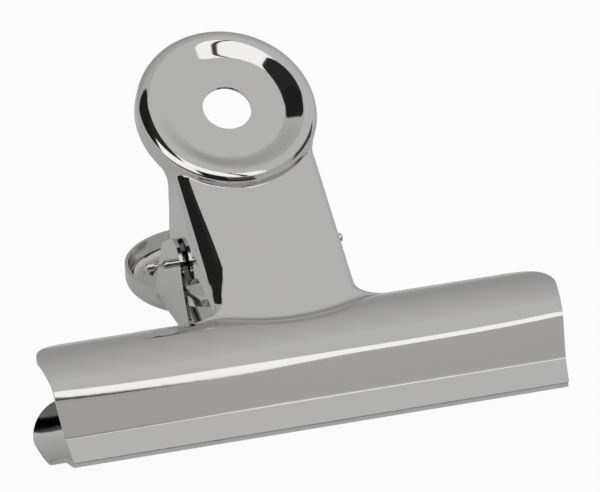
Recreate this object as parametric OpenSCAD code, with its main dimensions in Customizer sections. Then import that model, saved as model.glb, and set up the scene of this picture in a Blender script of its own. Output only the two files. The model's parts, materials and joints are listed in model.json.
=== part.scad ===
// Bulldog clip: two identical pressed steel halves, a pivot pin and a torsion spring.
// The clip lies on its back, on the ridge and the thumb grip of its rear half.
// Each half is drawn with the pivot at the origin: x along the jaw bar, y towards
// the thumb grips and z outwards from the plane where the two halves meet.

/* [Sheet] */
// Thickness of the steel sheet
sheet_t = 0.5; // [0.4:0.05:0.8]

/* [Thumb grips] */
// Radius of the round grip over its turned-back wall
grip_r = 13; // [12:0.25:14]
// Radius of the hanging hole
hole_r = 3.5; // [2:0.25:5]
// Radius of the flat, dished centre
dish_r = 8; // [6:0.25:8.5]
// Height of the rolled rim over the dished centre
rim_rise = 1.2; // [0.8:0.1:1.6]
// Outer radius of the roll between the rim and its wall
rim_roll = 1.8; // [1.5:0.1:2.1]
// Depth of the turned-back wall under the dished centre
wall_depth = 2.4; // [1.8:0.1:3]
// Height of the dished centre over the pivot, square to the grip
grip_rise = 11; // [10:0.25:13]
// Distance from the pivot to the middle of the grip, along the grip
grip_reach = 17.5; // [16.5:0.25:20]
// Angle between the grip and the plane where the halves meet
grip_angle = 18; // [14:0.5:22]

/* [Neck and ears] */
// Width of the neck, from the outer ear to the inner one
neck_w = 20.8; // [17:0.2:22]
// How far the neck lies under the dished centre of the grip
neck_drop = 0.4; // [0.2:0.1:0.8]
// Outer radius of the bend between the neck and its ears
bend_r = 1.5; // [1:0.1:1.6]
// Radius of the ear's round end about the pivot
ear_r = 3.5; // [3:0.1:4]
// Side clearance between an outer ear and the inner ear beside it
ear_gap = 0.07; // [0.05:0.01:0.15]
// Radius of the round corners between the neck and the jaw bar
corner_r = 3.3; // [2.5:0.1:4]
// Radius of the round pressing that turns the neck's foot up into the bar
press_r = 34.6; // [33:0.1:37]

/* [Jaw bar] */
// Length of the jaw bar where it is longest
bar_len = 75; // [70:1:90]
// Distance from the pivot down to the gripping edge
jaw_reach = 36.7; // [35:0.1:39]
// Height of the bar from its gripping edge up to its top edge
bar_h = 18.5; // [17.8:0.1:19.2]
// Height of the gripping lip along its slope
lip_len = 3.5; // [3:0.1:4]
// Slope of the gripping lip
lip_slope = 27; // [22:1:32]
// Width of the flat between the lip and the ridge
flat_len = 6.4; // [6:0.1:7]
// Slope of that flat
flat_slope = 47; // [43:1:50]
// Outer radius of the bar's rounded back
back_r = 10.8; // [9.5:0.1:13]
// Outer radius of the ridge
ridge_r = 2.2; // [1.5:0.1:3]
// How much shorter each end of the bar is at the lip
end_taper = 1.8; // [0:0.1:3]
// Radius of the bar's upper corners
end_r = 5.5; // [3:0.5:7]
// Gap left between the closed lips
lip_gap = 0.05; // [0.03:0.01:0.1]

/* [Pivot pin] */
// Radius of the pin
pin_r = 0.65; // [0.5:0.05:0.9]
// Length of the pin
pin_len = 29.3; // [28.5:0.1:32]
// How far the pin has slid to one side
pin_slide = 0.5; // [0:0.1:0.8]
// Radial clearance of the pin in the ears
pin_fit = 0.05; // [0.02:0.01:0.09]
// Length of the round end outside each crimp
crimp_inset = 1.6; // [1.2:0.1:1.8]
// Length of each crimp along the pin
crimp_len = 0.8; // [0.6:0.1:1]
// Thickness of a crimp
crimp_t = 0.5; // [0.4:0.05:0.7]
// Width of a crimp
crimp_w = 1.9; // [1.6:0.1:2.2]

/* [Spring] */
// Radius of the spring wire
wire_r = 0.6; // [0.5:0.05:0.7]
// Radius of the coil at the middle of the wire
coil_r = 2.7; // [2.5:0.1:3]
// Whole turns of the coil
turns = 6; // [5:1:7]
// Distance between neighbouring turns, middle to middle
coil_pitch = 1.75; // [1.7:0.05:1.9]
// Clearance between each leg's end and the grip that it presses
leg_gap = 0.1; // [0.05:0.05:0.2]
// Distance along the grip at which a leg presses, from the pivot
leg_reach = 14; // [12.5:0.25:14.5]

/* [Hidden] */
$fn = 96;

// One overrun serves every cut
over = 1;
cut_z = 30;

// Levels of the neck in the grip's own frame, square to the grip
neck_h = grip_rise - neck_drop;
in_w = neck_w / 2 - (sheet_t + ear_gap) / 2;
out_w = neck_w / 2 + (sheet_t + ear_gap) / 2;

// Points along an arc, and a path set back by a distance on its right
function unit(v) = v / norm(v);
function left(v) = [-v[1], v[0]];
function arc(c, r, a0, a1, n) = [for (i = [0:n]) let(a = a0 + (a1 - a0) * i / n) c + r * [cos(a), sin(a)]];
function along(p, i) = unit(p[min(i + 1, len(p) - 1)] - p[min(i, len(p) - 2)]);
function set_back(p, d) = [for (i = [0:len(p) - 1])
    let(n0 = left(along(p, max(i - 1, 0))), n1 = left(along(p, i)))
    p[i] - d * (n0 + n1) / (1 + n0 * n1)];
function flipped(p) = [for (i = [len(p) - 1:-1:0]) p[i]];
function strip(p) = concat(p, flipped(set_back(p, sheet_t)));

// From the grip's frame to the half's own frame, as a (y, z) point
function tilted(p) = [p[0] * cos(grip_angle) - p[1] * sin(grip_angle),
                      p[0] * sin(grip_angle) + p[1] * cos(grip_angle)];

// Outer path of the bar's cross-section, from the gripping edge up to the neck
bar_top = jaw_reach - bar_h;
lip_dir = [cos(lip_slope), sin(lip_slope)];
flat_dir = [cos(flat_slope), sin(flat_slope)];
edge_p = [-jaw_reach, lip_gap / 2 + sheet_t * cos(lip_slope)];
crease_p = edge_p + lip_len * lip_dir;
ridge_p = crease_p + flat_len * flat_dir;
top_p = [-bar_top, neck_h / cos(grip_angle) - bar_top * tan(grip_angle)];

// Centre of the rounded back, which passes through the ridge corner and the top edge
back_chord = top_p - ridge_p;
back_c = (top_p + ridge_p) / 2
    - left(unit(back_chord)) * sqrt(back_r * back_r - back_chord * back_chord / 4);

// Centre of the ridge's own radius, tangent to the flat and inside the back
roll_from = ridge_p - ridge_r * left(flat_dir) - back_c;
roll_b = roll_from * flat_dir;
roll_u = -roll_b - sqrt(roll_b * roll_b - roll_from * roll_from + pow(back_r - ridge_r, 2));
roll_v = -roll_b + sqrt(roll_b * roll_b - roll_from * roll_from + pow(back_r - ridge_r, 2));
ridge_c = back_c + roll_from + (abs(roll_u) < abs(roll_v) ? roll_u : roll_v) * flat_dir;
blend_v = ridge_c - back_c;
blend_a = atan2(blend_v[1], blend_v[0]);
back_v = top_p - back_c;
bar_path = concat([edge_p, crease_p],
    arc(ridge_c, ridge_r, 90 + flat_slope, blend_a, 4),
    arc(back_c, back_r, blend_a, atan2(back_v[1], back_v[0]), 12));

// Outer path of the grip's cross-section, from its hole out to the end of its wall
crest_r = grip_r - rim_roll;
roll_h = rim_rise - rim_roll;
rim_path = concat([[hole_r, 0]],
    [for (i = [0:8]) [dish_r + (crest_r - dish_r) * i / 8, rim_rise * (1 - cos(180 * i / 8)) / 2]],
    [for (i = [1:8]) [crest_r + rim_roll * sin(90 * i / 8), roll_h + rim_roll * cos(90 * i / 8)]],
    [[grip_r, -wall_depth]]);

// Side outline of the ears and walls in the grip's frame: s along it, h square to it
ear_end_share = [0.37, -0.92];
ear_back_share = [-0.97, 0];
ear_tip_share = [1.67, -0.23];
ear_rise_share = [1.97, 0.31];
ear_neck_share = [2.41, 1.15];
ear_wall_share = 2.75;
ear_low_share = [-1.25, 0.7];
ear_foot_share = [-1.83, 1.78];
wall_h = grip_rise - wall_depth;
wall_s = ear_r * (ear_wall_share + 0.25);
wall_drop = 1.2;
foot_h = neck_h - bend_r - sheet_t;
neck_low = tilted([0, 0])[0] - bar_top * cos(grip_angle) + top_p[1] * sin(grip_angle);
ear_side = [[neck_low - over, cut_z], [neck_low - over, foot_h], [neck_low + corner_r, foot_h],
    ear_r * ear_foot_share, ear_r * ear_low_share, ear_r * ear_back_share, [0, 0],
    ear_r * ear_end_share, ear_r * ear_tip_share, ear_r * ear_rise_share, ear_r * ear_neck_share,
    [ear_r * ear_wall_share, wall_h - wall_drop], [wall_s, wall_h],
    [grip_reach + grip_r + over, wall_h], [grip_reach + grip_r + over, cut_z]];

// The neck ends in a round pressing whose wall climbs to the bar's back
press_deep_share = 0.44;
press_s = neck_low - corner_r * press_deep_share + press_r;
press_slope = 55;

// Rest: a common tangent of the bar's back, or of its ridge, and of the rim lies on the table
rim_c = tilted([grip_reach + crest_r, grip_rise + roll_h]);
function tangent_a(c, r) = let(v = rim_c - c) atan2(v[1], v[0]) - asin((r - rim_roll) / norm(v));
on_back = 90 + tangent_a(back_c, back_r) < blend_a;
rest_c = on_back ? back_c : ridge_c;
rest_r = on_back ? back_r : ridge_r;
rest_tilt = tangent_a(rest_c, rest_r);
rest_n = [-sin(rest_tilt), cos(rest_tilt)];
pivot_z = rest_c * rest_n + rest_r;
low_y = edge_p[0] * cos(rest_tilt) - edge_p[1] * sin(rest_tilt);
rear_wall = tilted([grip_reach + grip_r, wall_h]);
high_y = rear_wall[0] * cos(rest_tilt) + rear_wall[1] * sin(rest_tilt);
pivot_y = -(low_y + high_y) / 2;

// Extrudes a (y, z) outline along x
module across(w) rotate([90, 0, 90]) linear_extrude(w, center = true) children();

// Extrudes an (x, z) outline along y, from y0 up to y1
module lengthways(y0, y1) translate([0, y1, 0]) rotate([90, 0, 0]) linear_extrude(y1 - y0) children();

// Turns from the grip's frame into the half's own frame
module grip_frame() rotate([grip_angle, 0, 0]) children();

// The dished, rolled and walled disc
module grip_disc() translate([0, grip_reach, grip_rise]) rotate_extrude() polygon(strip(rim_path));

// Section of the neck with its two bends, its ears running down to the overrun
module channel_section() {
    w0 = -in_w;
    w1 = out_w;
    low = -ear_r - over;
    outer = concat([[w0, low]], arc([w0 + bend_r, neck_h - bend_r], bend_r, 180, 90, 6),
        arc([w1 - bend_r, neck_h - bend_r], bend_r, 90, 0, 6), [[w1, low]]);
    polygon(strip(outer));
}

// Neck plate and ears, bent from one strip and joined to the wall of the grip
module neck() {
    inner_r = grip_r - sheet_t;
    intersection() {
        union() {
            difference() {
                lengthways(neck_low + sheet_t, grip_reach) channel_section();
                translate([0, grip_reach, -cut_z]) cylinder(h = 2 * cut_z, r = inner_r);
            }
            // The grip's wall grows deeper where it runs into the ears
            translate([0, grip_reach, -ear_r]) difference() {
                cylinder(h = ear_r + grip_rise + roll_h, r = grip_r);
                translate([0, 0, -over]) cylinder(h = cut_z, r = inner_r);
                translate([sheet_t - in_w, -cut_z, -over])
                    cube([in_w + out_w - 2 * sheet_t, cut_z, cut_z + over]);
            }
        }
        across(2 * (grip_r + over)) union() {
            polygon(ear_side);
            circle(r = ear_r);
        }
    }
}

// Disc without the part of its wall that the neck replaces
module grip() difference() {
    grip_disc();
    translate([sheet_t - in_w, 0, -cut_z])
        cube([in_w + out_w - 2 * sheet_t, grip_reach, cut_z + neck_h - sheet_t]);
}

// Cone of the pressing at the foot of the neck, moved outwards by a distance
module press_cone(out) {
    low_h = neck_h - 2 * sheet_t;
    rise = cut_z - low_h;
    base_r = press_r + (low_h - neck_h) / tan(press_slope) + out / sin(press_slope);
    translate([0, press_s, low_h]) cylinder(h = rise, r1 = base_r, r2 = base_r + rise / tan(press_slope));
}

// Flat foot of the neck inside the pressing, with its two round corners
module neck_foot() intersection() {
    press_cone(sheet_t);
    translate([0, 0, neck_h - sheet_t]) linear_extrude(sheet_t) union() {
        translate([-press_r, neck_low - press_r]) square([2 * press_r, press_r]);
        difference() {
            translate([-in_w - corner_r, neck_low - sheet_t / 2])
                square([in_w + out_w + 2 * corner_r, corner_r + sheet_t]);
            translate([-in_w - corner_r, neck_low + corner_r]) circle(r = corner_r);
            translate([out_w + corner_r, neck_low + corner_r]) circle(r = corner_r);
            translate([-in_w - 2 * corner_r, neck_low + corner_r]) square([2 * corner_r, corner_r]);
            translate([out_w, neck_low + corner_r]) square([2 * corner_r, corner_r]);
        }
    }
}

// Outline of the bar seen square to the plane where the halves meet
module bar_outline() {
    half = bar_len / 2;
    wide_y = -bar_top - end_r;
    end = concat([[half - end_taper, -jaw_reach - over], [half, wide_y]],
        arc([half - end_r, wide_y], end_r, 0, 90, 12));
    low = concat(end, [for (p = flipped(end)) [-p[0], p[1]]]);
    polygon(low);
}

// Jaw bar with the wall of the neck's pressing
module bar() intersection() {
    linear_extrude(cut_z) bar_outline();
    union() {
        difference() {
            across(bar_len) polygon(strip(bar_path));
            grip_frame() press_cone(0);
        }
        intersection() {
            across(2 * press_r) polygon(concat(bar_path, [[top_p[0], 0], [edge_p[0], 0]]));
            grip_frame() difference() {
                press_cone(sheet_t);
                press_cone(0);
                translate([-cut_z, -cut_z, 0]) cube([2 * cut_z, 2 * cut_z, neck_h - sheet_t]);
            }
        }
    }
}

// One pressed half, the same for front and rear
module pressed_half() difference() {
    union() {
        grip_frame() {
            grip();
            neck();
            neck_foot();
        }
        bar();
    }
    rotate([0, 90, 0]) cylinder(h = neck_w + 2 * over, r = pin_r + pin_fit, center = true);
}

// Front half, with the thumb grip turned to the viewer
module front_jaw() color("silver") pressed_half();

// Rear half: the same pressing turned round
module rear_jaw() color("gainsboro") rotate([0, 180, 0]) pressed_half();

// Pivot pin: a wire with a crimp near each end, so that it can't slide out
module pivot_pin() color("lightgray") translate([-pin_slide, 0, 0]) {
    body = pin_len - 2 * (crimp_inset + crimp_len);
    rotate([0, 90, 0]) {
        cylinder(h = body, r = pin_r, center = true);
        for (side = [-1, 1]) translate([0, 0, side * (pin_len - crimp_inset) / 2])
            cylinder(h = crimp_inset, r = pin_r, center = true);
    }
    for (side = [-1, 1]) translate([side * (body + crimp_len) / 2, 0, 0]) rotate([lip_slope + grip_angle, 0, 0])
        intersection() {
            cube([crimp_len, crimp_t, crimp_w], center = true);
            rotate([0, 90, 0]) cylinder(h = crimp_len, r = crimp_w / 2, center = true);
        }
}

// Spring: one wire, from the front grip round the pin and up to the rear grip
leg_in = tilted([leg_reach, grip_rise - sheet_t - leg_gap - wire_r]);
leg_a = atan2(leg_in[1], leg_in[0]) + acos(coil_r / norm(leg_in));
sweep_a = 360 * turns + 360 - 2 * leg_a;
rings = 8 * turns + 2;
coil_half = coil_pitch * sweep_a / 720;
coil_pts = [for (i = [0:rings]) let(a = leg_a + sweep_a * i / rings)
    [coil_half * (1 - 2 * i / rings), coil_r * cos(a), coil_r * sin(a)]];
leg_v = [0, leg_in[0], leg_in[1]] - [0, coil_pts[0][1], coil_pts[0][2]];
leg_pts = [for (u = [1, 1 - 2 * wire_r / norm(leg_v), 0.5]) coil_pts[0] + u * leg_v];
function turned(p) = [-p[0], p[1], -p[2]];
wire_pts = concat(leg_pts, coil_pts, [for (p = flipped(leg_pts)) turned(p)]);
wire_gap = min([for (i = [0:len(wire_pts) - 1]) for (j = [i + 5:1:len(wire_pts) - 1])
    norm(wire_pts[i] - wire_pts[j])]) - 2 * wire_r;
echo(least_gap_of_the_spring_to_itself = wire_gap);

// A ring of six points about each point of the wire, joined into one closed tube
sides = 6;
function wire_dir(i) = unit(wire_pts[min(i + 1, len(wire_pts) - 1)] - wire_pts[max(i - 1, 0)]);
function ring(i) = let(t = wire_dir(i), u = unit(cross(t, [1, 0, 0])), v = cross(t, u))
    [for (k = [0:sides - 1]) wire_pts[i] + wire_r * (cos(360 * k / sides) * u + sin(360 * k / sides) * v)];
module torsion_spring() color("darkgray") {
    last = len(wire_pts) - 1;
    points = concat([for (i = [0:last]) each ring(i)], [wire_pts[0], wire_pts[last]]);
    a_end = sides * (last + 1);
    faces = concat(
        [for (i = [0:last - 1]) for (k = [0:sides - 1]) let(m = (k + 1) % sides)
            [i * sides + k, (i + 1) * sides + k, (i + 1) * sides + m]],
        [for (i = [0:last - 1]) for (k = [0:sides - 1]) let(m = (k + 1) % sides)
            [i * sides + k, (i + 1) * sides + m, i * sides + m]],
        [for (k = [0:sides - 1]) [a_end, k, (k + 1) % sides]],
        [for (k = [0:sides - 1]) [a_end + 1, last * sides + (k + 1) % sides, last * sides + k]]);
    polyhedron(points, faces);
}

// The clip as it lies on the table
module lying() translate([0, pivot_y, pivot_z]) rotate([rest_tilt, 0, 0]) children();

lying() front_jaw();
lying() rear_jaw();
lying() pivot_pin();
lying() torsion_spring();
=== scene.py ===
"""A nickel-plated bulldog clip on a pale table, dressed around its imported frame."""
import json

import bmesh
import bpy
import numpy as np
from mathutils import Matrix


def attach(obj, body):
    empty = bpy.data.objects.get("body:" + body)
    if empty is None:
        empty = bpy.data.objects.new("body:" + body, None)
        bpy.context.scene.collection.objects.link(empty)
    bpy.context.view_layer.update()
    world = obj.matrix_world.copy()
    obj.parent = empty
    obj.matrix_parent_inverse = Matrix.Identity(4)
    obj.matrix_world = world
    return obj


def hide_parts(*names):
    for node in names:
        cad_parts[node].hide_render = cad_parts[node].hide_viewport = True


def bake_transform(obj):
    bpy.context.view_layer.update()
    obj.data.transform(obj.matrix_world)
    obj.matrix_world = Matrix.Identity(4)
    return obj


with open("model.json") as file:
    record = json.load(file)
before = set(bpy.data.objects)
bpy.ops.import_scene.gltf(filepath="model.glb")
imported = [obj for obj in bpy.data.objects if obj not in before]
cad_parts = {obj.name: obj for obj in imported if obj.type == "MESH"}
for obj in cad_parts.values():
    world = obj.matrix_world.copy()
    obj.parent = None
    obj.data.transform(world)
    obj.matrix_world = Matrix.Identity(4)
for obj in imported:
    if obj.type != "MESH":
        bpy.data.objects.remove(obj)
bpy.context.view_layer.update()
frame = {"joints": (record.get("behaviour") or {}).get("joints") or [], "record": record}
mm = 0.001

# How the clip lies. It rests on its back, on the ridge and the thumb grip of its rear half,
# so both halves are worked out round the pivot pin and then laid down together. The pin's
# place is read from the hinge, and the tilt from the front grip's hanging hole.
hinge = next(joint for joint in frame["joints"] if joint["name"] == "jaw_hinge")
hole = next(mount for mount in frame["record"]["mounts"] if mount["name"] == "front_hanging_hole")
pivot = np.array(hinge["pos_m"])
grip_angle = np.radians(18)
rest_tilt = np.arctan2(-hole["axis"][1], hole["axis"][2]) - grip_angle


def laid(points, turned_round=False):
    """Points drawn round the pivot, laid down by one turn about x and moved to the pin.

    x runs along the jaw bar, y towards the grips and z outwards; turned_round gives the rear half.
    """
    points = np.array(points, float)
    if turned_round:
        points = points * [-1, 1, -1]
    cos, sin = np.cos(rest_tilt), np.sin(rest_tilt)
    x, y, z = points[..., 0], points[..., 1], points[..., 2]
    return np.stack([x, y * cos - z * sin, y * sin + z * cos], -1) + pivot


# The two halves. Each is one pressing from half-millimetre steel strip, nickel plated and
# polished: a dished and rolled thumb grip, a flat neck with two ears bent back for the pin,
# and the jaw bar with its rounded back, ridge, flat, crease and gripping lip.
sheet = 0.5 * mm

# Thumb grip, placed by s along the grip and h square to it, both from the pivot
grip_r = 13 * mm
hole_r = 3.5 * mm
dish_r = 8 * mm
rim_rise = 1.2 * mm
rim_roll = 1.8 * mm
wall_depth = 2.4 * mm
grip_rise = 11 * mm
grip_reach = 17.5 * mm
crest_r = grip_r - rim_roll
rim_top = grip_rise + rim_rise
roll_end = rim_top - rim_roll
wall_h = grip_rise - wall_depth

# Neck, with the inner ear on its left side and the outer ear on its right
neck_drop = 0.4 * mm
neck_h = grip_rise - neck_drop
neck_half = {-1: 9.95 * mm, 1: 10.9 * mm}
neck_end = 9.4 * mm
corner_r = 3.3 * mm

# Fillet between neck and grip, fine on the plate and wider down the sides
fine_fillet = 0.5 * mm
side_fillet = 1.6 * mm
fillet_from = neck_h - 0.5 * mm
fillet_to = neck_h - 2.5 * mm

# Bends between neck and ears. The left one is softer: it grows over the first range of s and
# shrinks again over the second. In the round corners both fade out to a narrow flange.
bend_r = 1.95 * mm
soft_bend_r = 3.2 * mm
foot_shrink = 1.8 * mm
grow_from = 9 * mm
grow_to = -9 * mm
shrink_from = -7.5 * mm
shrink_to = -13.5 * mm
flange = 0.5 * mm
corner_fade = 3

# Ears: a round end about the pin, and the corners of their edge as (s, h) before and after it
ear_r = 3.5 * mm
ear_foot = [(-1.83 * ear_r, 1.78 * ear_r), (-1.25 * ear_r, 0.7 * ear_r)]
ear_rise = [(1.67 * ear_r, -0.23 * ear_r), (1.97 * ear_r, 0.31 * ear_r), (2.41 * ear_r, 1.15 * ear_r)]
ear_wall = [(2.75 * ear_r, wall_h - 1.2 * mm), (3 * ear_r, wall_h), (grip_reach + grip_r, wall_h)]
foot_rounding = [1.5 * mm, 2 * mm]
rise_rounding = [1.2 * mm] * 4 + [1.5 * mm]

# Jaw bar, from its gripping edge up to the neck. The ridge is softer at the left end, and it
# bows in a little between its ends.
bar_half = 37.5 * mm
jaw_reach = 36.7 * mm
bar_top = 18.2 * mm
lip_gap = 0.05 * mm
lip_len = 3.5 * mm
lip_slope = np.radians(27)
flat_len = 6.4 * mm
flat_slope = np.radians(47)
crease_r = 0.3 * mm
ridge_r = 2.2 * mm
soft_ridge_r = 4.4 * mm
soften_from = 8 * mm
soften_to = -14 * mm
ridge_bow = 0.5 * mm
bow_half = 36 * mm
back_r = 10.8 * mm
end_r = 5.5 * mm
end_taper = 1.8 * mm

# Round pressing that turns the neck's foot up into the bar: part of a cone about the grip's
# normal, with the widths over which it blends into the bar and into the neck
press_r = 34.6 * mm
press_x = 0.9 * mm
press_s = 17.46 * mm
press_slope = np.radians(55)
bar_blend = 1.2 * mm
neck_blend = 0.9 * mm
blend_half = 14.5 * mm
blend_fade = 2 * mm


def upright(x, s, h):
    """Points of the grip's frame turned by the grip's angle into the half's own frame."""
    cos, sin = np.cos(grip_angle), np.sin(grip_angle)
    return np.stack([x + 0 * s, s * cos - h * sin, s * sin + h * cos], -1)


def grip_frame(y, z):
    """The same turn backwards, from (y, z) to (s, h)."""
    cos, sin = np.cos(grip_angle), np.sin(grip_angle)
    return y * cos + z * sin, -y * sin + z * cos


def unit(v):
    """Vectors divided by their own length."""
    return v / np.linalg.norm(v, axis=-1, keepdims=True)


def share(value, start, end):
    """How far a value has come from start to end, held between 0 and 1."""
    return np.clip((value - start) / (end - start), 0, 1)


def smooth(t):
    """A smooth step of a share t: three times its square less twice its cube."""
    return t**2 * (3 - 2 * t)


def arc(centre, radius, start, end, count):
    """Points on a circle between two angles in degrees."""
    angle = np.radians(np.linspace(start, end, count))
    return np.array(centre) + radius * np.stack([np.cos(angle), np.sin(angle)], -1)


def soft_min(a, b, k):
    """The lower of two heights, with a cubic blend of width k where they cross."""
    near = np.maximum(k - np.abs(a - b), 0) / k
    return np.minimum(a, b) - near**3 * k / 6


def resample(path, count):
    """A path cut again into equal lengths."""
    steps = np.concatenate([[0], np.cumsum(np.linalg.norm(np.diff(path, axis=0), axis=1))])
    places = np.linspace(0, steps[-1], count)
    return np.stack([np.interp(places, steps, path[:, k]) for k in range(path.shape[1])], -1)


def rounded(corners, radii, count=9):
    """An open polyline with an arc in each inner corner, tangent to both its sides.

    The arc begins at radius / tan(half the corner's angle) from the corner, or at nearly half
    of the shorter side where that is less.
    """
    out = [np.array(corners[0])[None]]
    most = 0.49
    for before, at, after, radius in zip(corners[:-2], corners[1:-1], corners[2:], radii):
        at = np.array(at, float)
        u, v = unit(np.array(before) - at), unit(np.array(after) - at)
        half = np.arccos(np.clip(u @ v, -1, 1)) / 2
        shorter = min(np.linalg.norm(before - at), np.linalg.norm(after - at))
        reach = min(radius / np.tan(half), most * shorter)
        centre = at + unit(u + v) * reach / np.cos(half)
        a, b = at + u * reach - centre, at + v * reach - centre
        t = np.linspace(0, 1, count)[:, None]
        turn = np.arctan2(a[0] * b[1] - a[1] * b[0], a @ b)
        side = np.array([-a[1], a[0]])
        out.append(centre + a * np.cos(turn * t) + side * np.sin(turn * t))
    return np.concatenate(out + [np.array(corners[-1])[None]])


def crowded_end(t):
    """Shares from 0 to 1 that lie closer together near 1: t times (1.7 - 0.7 t)."""
    return t * (1.7 - 0.7 * t)


def crowded_ends(t):
    """Shares from 0 to 1 that lie closer together near both ends: t less a part of a sine wave."""
    return t - 0.6 * np.sin(2 * np.pi * t) / (2 * np.pi)


def eased(t, ends=0.3):
    """A straight rise from 0 to 1 with a parabola over the first and last share."""
    area = np.where(t < ends, t**2 / (2 * ends), t - ends / 2)
    over = np.maximum(t - 1 + ends, 0)
    return (area - over**2 / (2 * ends)) / (1 - ends)


# Height of the neck's foot over the plane where the halves meet, and its s
foot_z = neck_h / np.cos(grip_angle) - bar_top * np.tan(grip_angle)
neck_low, _ = grip_frame(-bar_top, foot_z)


def bar_profile(ridge_r):
    """Outer path of the bar's section as (y, z), from the gripping edge up to the neck.

    The lip and the flat are straight. The ridge is an arc tangent to the flat, and the back is
    a wider arc from it to the neck's foot. The second result is each point's share in the
    ridge's bow: all of it on the ridge, none at the crease and from the middle of the back.
    """
    edge = np.array([-jaw_reach, lip_gap / 2 + sheet * np.cos(lip_slope)])
    lip = np.array([np.cos(lip_slope), np.sin(lip_slope)])
    flat = np.array([np.cos(flat_slope), np.sin(flat_slope)])
    crease = edge + lip_len * lip
    ridge = crease + flat_len * flat
    top = np.array([-bar_top, foot_z])
    chord = top - ridge
    left = np.array([-chord[1], chord[0]]) / np.linalg.norm(chord)
    back = (top + ridge) / 2 - left * np.sqrt(back_r**2 - chord @ chord / 4)
    start = ridge - ridge_r * np.array([-flat[1], flat[0]]) - back
    b = start @ flat
    root = np.sqrt(b * b - start @ start + (back_r - ridge_r) ** 2)
    slide = min(-b - root, -b + root, key=abs)
    round_c = back + start + slide * flat
    meet = np.degrees(np.arctan2(*(round_c - back)[::-1]))
    end = np.degrees(np.arctan2(*(top - back)[::-1]))
    ridge_arc = arc(round_c, ridge_r, 90 + np.degrees(flat_slope), meet, 25)
    back_arc = arc(back, back_r, meet, end, 49)
    lower = rounded([edge, crease, ridge_arc[0]], [crease_r], 7)
    lip_points, flat_points = resample(lower[:2], 9), resample(lower[-2:], 14)[:-1]
    pieces = [lip_points, lower[2:-2], flat_points, ridge_arc, back_arc[1:]]
    flat_at, ridge_at, back_at, count = np.cumsum([len(piece) for piece in pieces])[1:]
    middle_of_back = back_at + 30
    turns_at = [flat_at, ridge_at, back_at - 1, middle_of_back]
    bowed = np.interp(np.arange(count), turns_at, [0, 1, 1, 0])
    return np.concatenate(pieces), smooth(bowed)


def bar_half_width(y):
    """Half the bar's length at each y: round upper corners, then a slight taper down to the lip."""
    wide = -bar_top - end_r
    up = np.clip(y - wide, 0, end_r)
    return bar_half - end_r + np.sqrt(end_r**2 - up**2) - end_taper * share(y, wide, -jaw_reach)


def fold(x, s, h):
    """The height h of the bar near the neck, cut by a cone and filled up to the neck's plane.

    The cone rises from the neck's height by the tangent of its slope, outside press_r.
    """
    cone = neck_h + (np.hypot(x - press_x, s - press_s) - press_r) * np.tan(press_slope)
    cut = soft_min(h, cone, bar_blend)
    near = np.clip((blend_half - np.abs(x)) / blend_fade, 0.001, 1)
    return -soft_min(-cut, -(neck_h + 0 * x), neck_blend * near)


def bend_at(s, left):
    """The bend's radius at s: bend_r, which on the left grows from the grip past the pin, then shrinks."""
    grown = (soft_bend_r - bend_r) * smooth(share(s, grow_from, grow_to))
    shrunk = foot_shrink * smooth(share(s, shrink_from, shrink_to))
    return bend_r + np.where(left, grown - shrunk, 0)


def wall_radius(h):
    """Radius of the grip's rolled wall at height h: the crest's, plus the roll's quarter circle."""
    drop = np.clip((rim_top - h) / rim_roll, 0, 1)
    return crest_r + rim_roll * np.sqrt(1 - (1 - drop) ** 2)


def rounded_distance(over, radius):
    """Distance to a rounded corner, from the distances over the two sides of its inner square."""
    return np.linalg.norm(np.maximum(over, 0), axis=-1) + np.minimum(over.max(-1), 0) - radius


def joined_distance(points):
    """Distance to grip or neck, the smaller one, and the cubic blend that joins them where both are near."""
    x, s, h = points[..., 0], points[..., 1], points[..., 2]
    over_grip = np.stack([np.hypot(x, s - grip_reach) - crest_r, h - roll_end], -1)
    grip = rounded_distance(over_grip, rim_roll)
    bend = bend_at(s, x < 0)
    side = np.where(x < 0, neck_half[-1], neck_half[1])
    over_neck = np.stack([np.abs(x) - side, h - neck_h], -1) + bend[..., None]
    deep = smooth(share(h, fillet_from, fillet_to))
    neck = np.maximum(rounded_distance(over_neck, bend), s - neck_end - (grip_reach - neck_end) * deep)
    width = fine_fillet + (side_fillet - fine_fillet) * deep
    near = np.maximum(width - np.abs(grip - neck), 0) / width
    return np.minimum(grip, neck), near**3 * width / 6


def filleted(points):
    """Points near the joint of grip and neck, moved out onto the fillet.

    Each of four steps moves them along the slope of the joined distance, by what they lack
    divided by the square of the slope.
    """
    start, _ = joined_distance(points)
    step = 0.01 * mm
    flattest = 0.2
    for _ in range(4):
        nearest, blend = joined_distance(points)
        slope = []
        for axis in np.eye(3) * step:
            ahead, behind = joined_distance(points + axis), joined_distance(points - axis)
            slope.append((ahead[0] - ahead[1] - behind[0] + behind[1]) / (2 * step))
        slope = np.stack(slope, -1)
        short = (nearest - blend - start) / np.maximum((slope**2).sum(-1), flattest)
        points = points - np.where(blend > 0, short, 0)[..., None] * slope
    return points


# Lines that the grids share. Across the neck, round a bend from its plate to its ear, round
# a corner at the foot, and along the neck from the foot to the grip.
sides = (-1, 1)
low_h = neck_h - bend_r
across = np.linspace(-1, 1, 65)
bend = np.radians(np.linspace(0, 90, 10))
turned_in = (1 - np.sin(bend))[:, None]
fallen = (1 - np.cos(bend))[:, None]
curl = np.radians(np.linspace(90, 0, 17))
along = crowded_end(np.linspace(0, 1, 66))[1:]
depth = np.linspace(0, 1, 15)[:, None]

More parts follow.
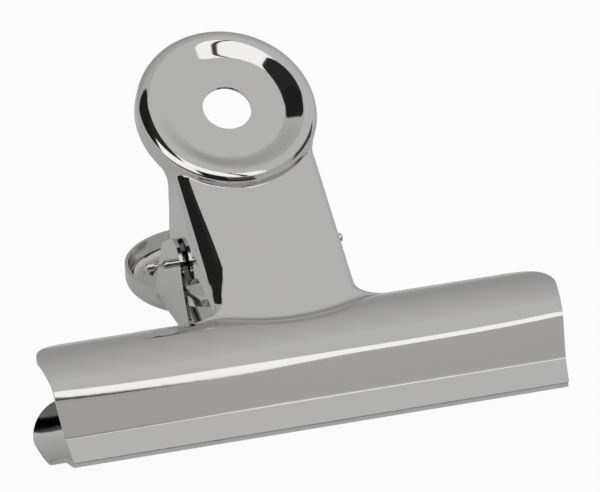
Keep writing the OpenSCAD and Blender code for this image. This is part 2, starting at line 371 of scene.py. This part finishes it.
# Angles about the grip's middle where its wall meets the neck, the bends, and neither of them
climb_h = neck_h - bend_r * (1 - np.cos(bend))
plate_half = {k: neck_half[k] - bend_r for k in sides}
begin = {k: np.arcsin(plate_half[k] / wall_radius(neck_h)) for k in sides}
climb = {k: np.arcsin((plate_half[k] + bend_r * np.sin(bend)) / wall_radius(climb_h)) for k in sides}
neck_angle = np.where(across < 0, across * begin[-1], across * begin[1])
round_sweep = 2 * np.pi - climb[-1][-1] - climb[1][-1]
round_angle = climb[1][-1] + round_sweep * crowded_ends(np.linspace(0, 1, 161))

# Edge of the ears: the round end, then on to the wall's edge
lobe = arc((0, 0), ear_r, 180, 292, 40)
ear_edge = rounded([lobe[-1], *ear_rise, *ear_wall], rise_rounding)


def grip_grid():
    """Dish, slope, crest, roll and wall, as a radius and a height at each angle about the grip's middle.

    The slope rises smoothly from the dish to the crest. The path then turns down a quarter
    circle, and goes on straight, as far as the neck, its bends or the wall's top at that angle.
    """
    left_climb = climb[-1][::-1]
    angle = np.concatenate([neck_angle, climb[1][1:], round_angle[1:-1], 2 * np.pi - left_climb])
    heights = [neck_h + 0 * neck_angle, climb_h[1:], low_h + 0 * round_angle[1:-1], climb_h[::-1]]
    end_h = np.concatenate(heights)
    dish = np.linspace(hole_r, dish_r, 5)[:-1, None]
    slope = np.linspace(0, 1, 21)[:, None]
    drop = np.clip((rim_top - end_h) / rim_roll, 0, 1)
    length = rim_roll * np.arccos(1 - drop) + np.maximum(roll_end - end_h, 0)
    run = crowded_end(np.linspace(0, 1, 25))[1:, None] * length
    turn = np.minimum(run / rim_roll, np.pi / 2)
    fall = rim_roll * (1 - np.cos(turn)) + np.maximum(run - rim_roll * np.pi / 2, 0)
    slope_r = dish_r + (crest_r - dish_r) * slope
    slope_h = grip_rise + rim_rise * eased(slope)
    r = np.concatenate([dish + 0 * angle, slope_r + 0 * angle, crest_r + rim_roll * np.sin(turn)])
    h = np.concatenate([grip_rise + 0 * dish * angle, slope_h + 0 * angle, rim_top - fall])
    return np.stack([r * np.sin(angle), grip_reach - r * np.cos(angle), h], -1)


def wall_grid():
    """The grip's turned-back wall below its roll: straight down from the bends' height to its edge."""
    x = grip_r * np.sin(round_angle) + 0 * depth
    s = grip_reach - grip_r * np.cos(round_angle)
    end = np.interp(s, ear_edge[:, 0], ear_edge[:, 1])
    return np.stack([x, s + 0 * depth, low_h + (end - low_h) * depth], -1)


def side_grids(k):
    """One side of the neck, right or left as k is 1 or -1: its bend, then the ear below it.

    The bend is a quarter circle carried round the corner at the foot, where its radius fades
    with a power of the cosine, and then along the neck, where it returns to bend_r with the
    twelfth power of the way to the grip. The ear is straight from the bend to the ear's edge.
    """
    centre_x, centre_s = neck_half[k] + corner_r, neck_low + corner_r
    foot_bend = bend_at(centre_s, k < 0)
    corner_bend = foot_bend * np.cos(curl) ** corner_fade
    corner_reach = corner_r + corner_bend * turned_in
    reach_x = neck_half[k] - bend_r * turned_in
    reach_s = grip_reach - np.sqrt(wall_radius(neck_h - bend_r * fallen) ** 2 - reach_x**2)
    side_s = centre_s + (reach_s - centre_s) * along
    side_bend = bend_at(side_s, k < 0) * (1 - along**12) + bend_r * along**12
    corner_x = centre_x - corner_reach * np.cos(curl)
    x = k * np.concatenate([corner_x, neck_half[k] - side_bend * turned_in], 1)
    s = np.concatenate([centre_s - corner_reach * np.sin(curl), side_s], 1)
    fall = np.concatenate([corner_bend * fallen, side_bend * fallen], 1)
    strip = np.stack([x, s, fold(x, s, neck_h + 0 * x) - fall], -1)

    foot = rounded([(centre_s, neck_h - foot_bend - flange), *ear_foot, lobe[0]], foot_rounding)
    edge = np.concatenate([foot[:-1], lobe, ear_edge[1:]])
    top = strip[-1]
    end_s = top[-1, 1]
    end_h = np.interp(end_s, ear_edge[:, 0], ear_edge[:, 1])
    edge = np.concatenate([edge[edge[:, 0] < end_s], [[end_s, end_h]]])
    bottom = top.copy()
    bottom[: len(curl), 2] -= flange * np.cos(curl)
    bottom[len(curl) - 1 :, 1:] = resample(edge, len(along) + 1)
    return strip, top + (bottom - top) * depth[..., None]


def neck_grid(left, right):
    """The neck's flat plate between the edges of its two bends.

    It ends in the circle of the grip's wall, and its points move over to that circle's with
    the fourth power of the way.
    """
    rows = np.concatenate([0 * curl, along])[:, None]
    x = left[:, :1] + (right[:, :1] - left[:, :1]) * (across + 1) / 2
    end_x = wall_radius(neck_h) * np.sin(neck_angle)
    x = x + (end_x - x[-1]) * rows**4
    start_s = neck_low + corner_r
    end_s = grip_reach - np.sqrt(wall_radius(neck_h) ** 2 - end_x**2)
    corner_s = left[:, 1:2] + (right[:, 1:2] - left[:, 1:2]) * (across + 1) / 2
    s = np.where(rows > 0, start_s + (end_s - start_s) * rows, corner_s)
    return np.stack([x, s, fold(x, s, neck_h + 0 * x)], -1)


def bar_grid(middle_x):
    """The jaw bar: its section carried along x, mixed to the left with the softer one.

    The ridge is bowed in along the flat, by ridge_bow times 1 less the fourth power of x / bow_half.
    """
    profile, bowed = bar_profile(ridge_r)
    soft_profile, _ = bar_profile(soft_ridge_r)
    half = bar_half_width(profile[:, 0])[:, None]
    side = np.linspace(0, 1, 41)
    left_x = -half + (middle_x[0] + half) * side
    right_x = middle_x[-1] + (half - middle_x[-1]) * side
    x = np.concatenate([left_x[:, :-1], middle_x + 0 * half, right_x[:, 1:]], 1)
    softened = smooth(share(x, soften_from, soften_to))[..., None]
    section = profile[:, None] * (1 - softened) + soft_profile[:, None] * softened
    s, h = grip_frame(section[..., 0], section[..., 1])
    bow = ridge_bow * bowed[:, None] * np.clip(1 - (x / bow_half) ** 4, 0, 1)
    s = s - bow * np.cos(flat_slope - grip_angle)
    h = h - bow * np.sin(flat_slope - grip_angle)
    return np.stack([x, s, fold(x, s, h)], -1)


def grid_mesh(patches, weld=3e-6):
    """One mesh of all patches: each is a grid of points, joined to the next where their edges meet."""
    points, faces, start = [], [], 0
    for grid in patches:
        rows, cols = grid.shape[:2]
        index = np.arange(rows * cols).reshape(rows, cols) + start
        corners = [index[:-1, :-1], index[:-1, 1:], index[1:, 1:], index[1:, :-1]]
        faces.append(np.stack(corners, -1).reshape(-1, 4))
        points.append(grid.reshape(-1, 3))
        start += rows * cols
    mesh = bpy.data.meshes.new("patches")
    mesh.from_pydata(np.concatenate(points), [], np.concatenate(faces).tolist())
    build = bmesh.new()
    build.from_mesh(mesh)
    bmesh.ops.remove_doubles(build, verts=build.verts, dist=weld)
    bmesh.ops.dissolve_degenerate(build, edges=build.edges, dist=weld)
    bmesh.ops.recalc_face_normals(build, faces=build.faces)
    build.to_mesh(mesh)
    build.free()
    return mesh


def finished(name, mesh, steps):
    """An object with its modifiers applied, shaded smooth."""
    mesh.shade_smooth()
    piece = bpy.data.objects.new(name, mesh)
    bpy.context.scene.collection.objects.link(piece)
    for kind, values in steps:
        modifier = piece.modifiers.new(kind.title(), kind)
        for key, value in values.items():
            setattr(modifier, key, value)
    bpy.context.view_layer.update()
    solid = bpy.data.meshes.new_from_object(piece.evaluated_get(bpy.context.evaluated_depsgraph_get()))
    piece.modifiers.clear()
    piece.data = solid
    solid.name = name
    return piece


def linked(tree, kind, values, out=0, **settings):
    """An output of a new node, its inputs set, or linked where the value is another node's output."""
    made = tree.nodes.new(kind)
    for name, value in settings.items():
        setattr(made, name, value)
    for socket, value in values.items():
        if isinstance(value, bpy.types.NodeSocket):
            tree.links.new(value, made.inputs[socket])
        else:
            made.inputs[socket].default_value = value
    return made.outputs[out]


def nickel(name, tint, roughness):
    """Polished nickel plate: a bright metal with a faint orange peel as its bump."""
    material = bpy.data.materials.new(name)
    material.use_nodes = True
    tree = material.node_tree
    shader = tree.nodes["Principled BSDF"]
    shader.inputs["Base Color"].default_value = (*tint, 1)
    shader.inputs["Metallic"].default_value = 1
    shader.inputs["Roughness"].default_value = roughness
    place = linked(tree, "ShaderNodeTexCoord", {}, out="Object")
    peel = linked(tree, "ShaderNodeTexNoise", {"Vector": place, "Scale": 450, "Detail": 2}, out="Fac")
    waves = {"Height": peel, "Strength": 0.008, "Distance": 0.4 * mm}
    tree.links.new(linked(tree, "ShaderNodeBump", waves), shader.inputs["Normal"])
    return material


left_side, right_side = side_grids(-1), side_grids(1)
neck = neck_grid(left_side[0][0], right_side[0][0])
surfaces = [grip_grid(), wall_grid(), *left_side, *right_side, neck, bar_grid(neck[0, :, 0])]
outer_face = [upright(*np.moveaxis(filleted(grid), -1, 0)) for grid in surfaces]
plate_finish = nickel("polished_nickel", (0.62, 0.615, 0.6), 0.06)
for node, body, slot, turned_round in [
    ("front_jaw", "front", "front_plate", False),
    ("rear_jaw", "rear", "rear_plate", True),
]:
    mesh = grid_mesh([laid(grid, turned_round) for grid in outer_face])
    jaw = finished(node + "_pressing", mesh, [
        ("SOLIDIFY", {"thickness": sheet, "offset": -1, "use_even_offset": False}),
        ("BEVEL", {"width": 0.06 * mm, "segments": 2, "limit_method": "ANGLE",
                   "angle_limit": np.radians(60), "harden_normals": True}),
    ])
    jaw.data.materials.append(plate_finish)
    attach(jaw, body)
    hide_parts(node)

# Pivot pin: a plain plated wire through the four ears. It is crimped flat near each end, so
# that it can't slide out, and it has slid a little to one side.
pin_r = 0.65 * mm
pin_len = 29.3 * mm
pin_slide = 0.5 * mm
crimp_place = 2 * mm
crimp_len = 1.1 * mm
crimp_t = 0.5 * mm
crimp_w = 1.9 * mm
end_round = 0.25 * mm
tube_sides = 24


def ringed(centres, across, up):
    """A closed tube: at each centre a ring of points, cos(a) times across plus sin(a) times up."""
    angle = np.linspace(0, 2 * np.pi, tube_sides + 1)[:-1, None]
    rings = centres[:, None] + np.cos(angle) * across[:, None] + np.sin(angle) * up[:, None]
    count = len(rings)
    index = np.arange(count * tube_sides).reshape(count, tube_sides)
    onward = np.roll(index, -1, 1)
    walls = np.stack([index[:-1], onward[:-1], onward[1:], index[1:]], -1).reshape(-1, 4).tolist()
    mesh = bpy.data.meshes.new("tube")
    mesh.from_pydata(rings.reshape(-1, 3), [], walls + [index[0, ::-1].tolist(), index[-1].tolist()])
    build = bmesh.new()
    build.from_mesh(mesh)
    bmesh.ops.recalc_face_normals(build, faces=build.faces)
    build.to_mesh(mesh)
    build.free()
    return mesh


def pin_mesh():
    """A straight wire whose section is a circle, squeezed to an oval at each crimp by a bell curve.

    A quarter circle rounds each end, down to a fifth of its own radius.
    """
    far = pin_len / 2
    tip = far - end_round * (1 - np.sin(np.radians(np.linspace(90, 0, 6))))
    middle = np.linspace(-1, 1, 241)[1:-1] * (far - end_round)
    x = np.concatenate([-tip, middle, tip[::-1]])
    past = np.maximum(np.abs(x) - far + end_round, 0) / end_round
    worn = np.sqrt(np.maximum(1 - past**2, 0.04))
    pinch = np.exp(-(((np.abs(x) - far + crimp_place) / (crimp_len / 2)) ** 4))
    wire = (pin_r - end_round * (1 - worn)) * (1 - pinch)
    thin = wire + crimp_t / 2 * pinch
    broad = wire + crimp_w / 2 * pinch
    lean = lip_slope + grip_angle
    centres = np.stack([x - pin_slide, 0 * x, 0 * x], -1)
    across = thin[:, None] * np.array([0, np.cos(lean), np.sin(lean)])
    up = broad[:, None] * np.array([0, -np.sin(lean), np.cos(lean)])
    return ringed(laid(centres), laid(across) - pivot, laid(up) - pivot)


pin = finished("pivot_pin_wire", pin_mesh(), [])
pin.data.materials.append(nickel("plated_wire", (0.62, 0.615, 0.6), 0.1))
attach(pin, "pin")
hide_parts("pivot_pin")

# Torsion spring, wound from hard steel wire round the pin, with one leg up to the front grip
# and one down to the rear grip. It winds up as the clip opens.
wire_r = 0.6 * mm
coil_r = 2.7 * mm
turns = 6
coil_pitch = 1.75 * mm
leg_gap = 0.1 * mm
leg_reach = 14 * mm


def spring_path():
    """The wire's middle line: x falls evenly as it turns round the pin, between two straight legs."""
    leg_end = upright(0, leg_reach, grip_rise - sheet - leg_gap - wire_r)[1:]
    start = np.arctan2(leg_end[1], leg_end[0]) + np.arccos(coil_r / np.linalg.norm(leg_end))
    sweep = 2 * np.pi * (turns + 1) - 2 * start
    half = coil_pitch * sweep / (4 * np.pi)
    t = np.linspace(0, 1, 48 * turns)
    turn = start + sweep * t
    coil = np.stack([half * (1 - 2 * t), coil_r * np.cos(turn), coil_r * np.sin(turn)], -1)
    leg_end = np.array([half, *leg_end])
    leg = coil[0] + (leg_end - coil[0]) * np.linspace(1, 0, 25)[:-1, None]
    return np.concatenate([leg, coil, leg[::-1] * [-1, 1, -1]])


def wire_mesh(path, radius):
    """A tube of one radius along a path, narrowed at both ends by a circle's cosine."""
    rings = 5
    worn = np.radians(np.linspace(0, 60, rings))
    ends = radius * (1 - np.cos(worn))
    along = unit(np.gradient(path, axis=0))
    start = path[0] + along[0] * ends[:, None]
    stop = path[-1] - along[-1] * ends[::-1, None]
    path = np.concatenate([start, path[1:-1], stop])
    narrow = np.cos(worn[::-1])
    girth = radius * np.concatenate([narrow, np.ones(len(path) - 2 * rings), narrow[::-1]])[:, None]
    along = np.concatenate([along[:1].repeat(rings, 0), along[1:-1], along[-1:].repeat(rings, 0)])
    across = unit(np.cross(along, [1, 0, 0]))
    up = np.cross(along, across)
    return ringed(laid(path), girth * (laid(across) - pivot), girth * (laid(up) - pivot))


spring = finished("torsion_spring_wire", wire_mesh(spring_path(), wire_r), [])
spring.data.materials.append(nickel("spring_steel", (0.42, 0.42, 0.42), 0.22))
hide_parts("torsion_spring")
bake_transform(spring)

# The pale table, white to the camera and a little darker to the metal, with a soft shadow.
# In front of the clip the metal sees a painted dark reflection on it, black to glossy rays only.
floor_reach = 3

# Shares of plain white that the camera and the metal see in it
white_to_camera = 0.95
white_to_metal = 0.15

# The painted dark reflection sets in between two places on y, and at the left of a line that leans by a
# slant
dark_reflection_from = -90 * mm
dark_reflection_to = -120 * mm
dark_reflection_side = 10 * mm
dark_reflection_slant = 0.38


def rises(tree, value, low, high, start=0.0, stop=1.0):
    """A smooth step of the value between low and high."""
    ends = {"Value": value, "From Min": low, "From Max": high, "To Min": start, "To Max": stop}
    return linked(tree, "ShaderNodeMapRange", ends, interpolation_type="SMOOTHSTEP")


def times(tree, a, b):
    """The product of two values."""
    return linked(tree, "ShaderNodeMath", {0: a, 1: b}, operation="MULTIPLY")


def times_plus(tree, a, b, c):
    """The product of the first two values, plus the third."""
    return linked(tree, "ShaderNodeMath", {0: a, 1: b, 2: c}, operation="MULTIPLY_ADD")


def pale_table():
    """White paper that glows for the camera, and a painted dark reflection, black to the metal only, beyond
    a slanted edge.
    """
    material = bpy.data.materials.new("pale_table")
    material.use_nodes = True
    tree = material.node_tree
    paper = tree.nodes["Principled BSDF"]
    paper.inputs["Base Color"].default_value = (0.86, 0.86, 0.86, 1)
    paper.inputs["Roughness"].default_value = 1
    paper.inputs["Specular IOR Level"].default_value = 0
    to_camera = linked(tree, "ShaderNodeLightPath", {}, out="Is Camera Ray")
    to_metal = linked(tree, "ShaderNodeLightPath", {}, out="Is Glossy Ray")
    whiteness = times_plus(tree, to_metal, white_to_metal, times(tree, to_camera, white_to_camera))
    white = linked(tree, "ShaderNodeEmission", {})
    whitened = linked(tree, "ShaderNodeMixShader", {"Fac": whiteness, 1: paper.outputs[0], 2: white})
    place = linked(tree, "ShaderNodeTexCoord", {}, out="Object")
    east = linked(tree, "ShaderNodeSeparateXYZ", {0: place}, out="X")
    north = linked(tree, "ShaderNodeSeparateXYZ", {0: place}, out="Y")
    # Painted dark reflection: in front of the clip and left of a slanted edge, glossy rays see black
    # emission instead of the table
    slanted = times_plus(tree, north, dark_reflection_slant, east)
    in_front = rises(tree, north, dark_reflection_from, dark_reflection_to)
    at_left = rises(tree, slanted, dark_reflection_side, -dark_reflection_side)
    dark = times(tree, times(tree, in_front, at_left), to_metal)
    painted_reflection_shader = linked(tree, "ShaderNodeEmission", {"Color": (0.02, 0.02, 0.02, 1)})
    shown = linked(tree, "ShaderNodeMixShader", {"Fac": dark, 1: whitened, 2: painted_reflection_shader})
    tree.links.new(shown, tree.nodes["Material Output"].inputs["Surface"])
    return material


floor_mesh = bpy.data.meshes.new("floor")
corners = [(-floor_reach, -floor_reach, 0), (floor_reach, -floor_reach, 0)]
floor_mesh.from_pydata(corners + [(x, -y, z) for x, y, z in corners[::-1]], [], [(0, 1, 2, 3)])
floor_mesh.materials.append(pale_table())
floor = bpy.data.objects.new("floor", floor_mesh)
bpy.context.scene.collection.objects.link(floor)

# The studio: a light tent that dims towards the back, two soft boxes in front, and the black
# cards that give the plating its dark streaks. The camera sees plain white beyond the table.
tent_front = 0.71
tent_back = 0.42

# The tent dims between two angles from the front, in degrees. Between two elevations this
# lessens, and above them only a share of it is left.
dims_from = 95
dims_to = 165
low_up_to = 10
high_from = 75
dims_high = 0.45

# Each card is a range of azimuth, from the front towards the right, and one of elevation, both
# in degrees, then its light and the width of its soft edge
cards = [
    ("front_low", (-3, 58), (-90, 27.2), (0.54, 0.54, 0.53), 0.8),
    ("gap_foot", (-3, 19), (-90, 22), (0.1, 0.09, 0.085), 3),
    ("front_box", (-36, 31), (27.2, 58), (1.4, 1.4, 1.4), 0.8),
    ("box_gap", (11.2, 16.3), (27.2, 60), (0.08, 0.06, 0.055), 1.2),
    ("low_box", (-75, -31), (3, 39), (1.4, 1.4, 1.4), 2),
    ("dark_stand", (-29, -3), (-90, 28), (0.02, 0.02, 0.02), 2),
    ("dark_right", (58, 92), (-90, 22), (0.07, 0.07, 0.07), 4),
    ("dark_left", (-131, -76), (8, 84), (0.02, 0.02, 0.02), 3),
    ("dark_top", (-80, -36), (39, 86), (0.03, 0.03, 0.03), 2),
]
world = bpy.data.worlds.new("studio")
world.use_nodes = True
sky = world.node_tree
direction = linked(sky, "ShaderNodeTexCoord", {}, out="Generated")
east, north, height = [linked(sky, "ShaderNodeSeparateXYZ", {0: direction}, out=axis) for axis in "XYZ"]
bearing = linked(sky, "ShaderNodeMath", {0: east, 1: times(sky, north, -1.0)}, operation="ARCTAN2")
climb_angle = linked(sky, "ShaderNodeMath", {0: height}, operation="ARCSINE")
azimuth_angle = times(sky, bearing, np.degrees(1))
elevation_angle = times(sky, climb_angle, np.degrees(1))
from_front = linked(sky, "ShaderNodeMath", {0: azimuth_angle}, operation="ABSOLUTE")
behind = rises(sky, from_front, dims_from, dims_to)
low_behind = times(sky, behind, rises(sky, elevation_angle, low_up_to, high_from, 1.0, dims_high))
light = linked(sky, "ShaderNodeMapRange", {"Value": low_behind, "To Min": tent_front, "To Max": tent_back})
colour = linked(sky, "ShaderNodeCombineColor", {"Red": light, "Green": light, "Blue": light})
for name, sweep, rise, shine, soft in cards:
    inside = None
    for angle, (low, high) in [(azimuth_angle, sweep), (elevation_angle, rise)]:
        above = rises(sky, angle, low - soft / 2, low + soft / 2)
        below = rises(sky, angle, high - soft / 2, high + soft / 2, 1.0, 0.0)
        both = times(sky, above, below)
        inside = both if inside is None else times(sky, inside, both)
    card = {0: inside, 6: colour, 7: (*shine, 1)}
    colour = linked(sky, "ShaderNodeMix", card, out=2, data_type="RGBA", label=name)
to_camera = linked(sky, "ShaderNodeLightPath", {}, out="Is Camera Ray")
beyond = {0: to_camera, 6: colour, 7: (0.98, 0.98, 0.98, 1)}
colour = linked(sky, "ShaderNodeMix", beyond, out=2, data_type="RGBA", label="beyond_the_table")
sky.links.new(colour, sky.nodes["Background"].inputs["Color"])
bpy.context.scene.world = world
bpy.context.scene.view_settings.view_transform = "Standard"

# The camera stands where the photograph's did: worked out from the clip's own outline. It
# looks a little past the pin, which the two shifts say.
azimuth = np.radians(-17.45)
elevation = np.radians(27.5)
roll = np.radians(0.56)
distance = 760.7 * mm
shift_right = 7.49 * mm
shift_up = 0.82 * mm
level_part = np.cos(elevation)
away = np.array([np.sin(azimuth) * level_part, -np.cos(azimuth) * level_part, np.sin(elevation)])
level = unit(np.cross([0, 0, 1], away))
raised = np.cross(away, level)
right = level * np.cos(roll) - raised * np.sin(roll)
upward = level * np.sin(roll) + raised * np.cos(roll)
eye = pivot + away * distance + right * shift_right + upward * shift_up
camera_data = bpy.data.cameras.new("camera")
camera_data.sensor_width = 36
camera_data.lens = 321
camera = bpy.data.objects.new("camera", camera_data)
turn = np.stack([right, upward, away], 1)
camera.matrix_world = Matrix([[*row, place] for row, place in zip(turn, eye)] + [[0, 0, 0, 1]])
bpy.context.scene.collection.objects.link(camera)
bpy.context.scene.camera = camera
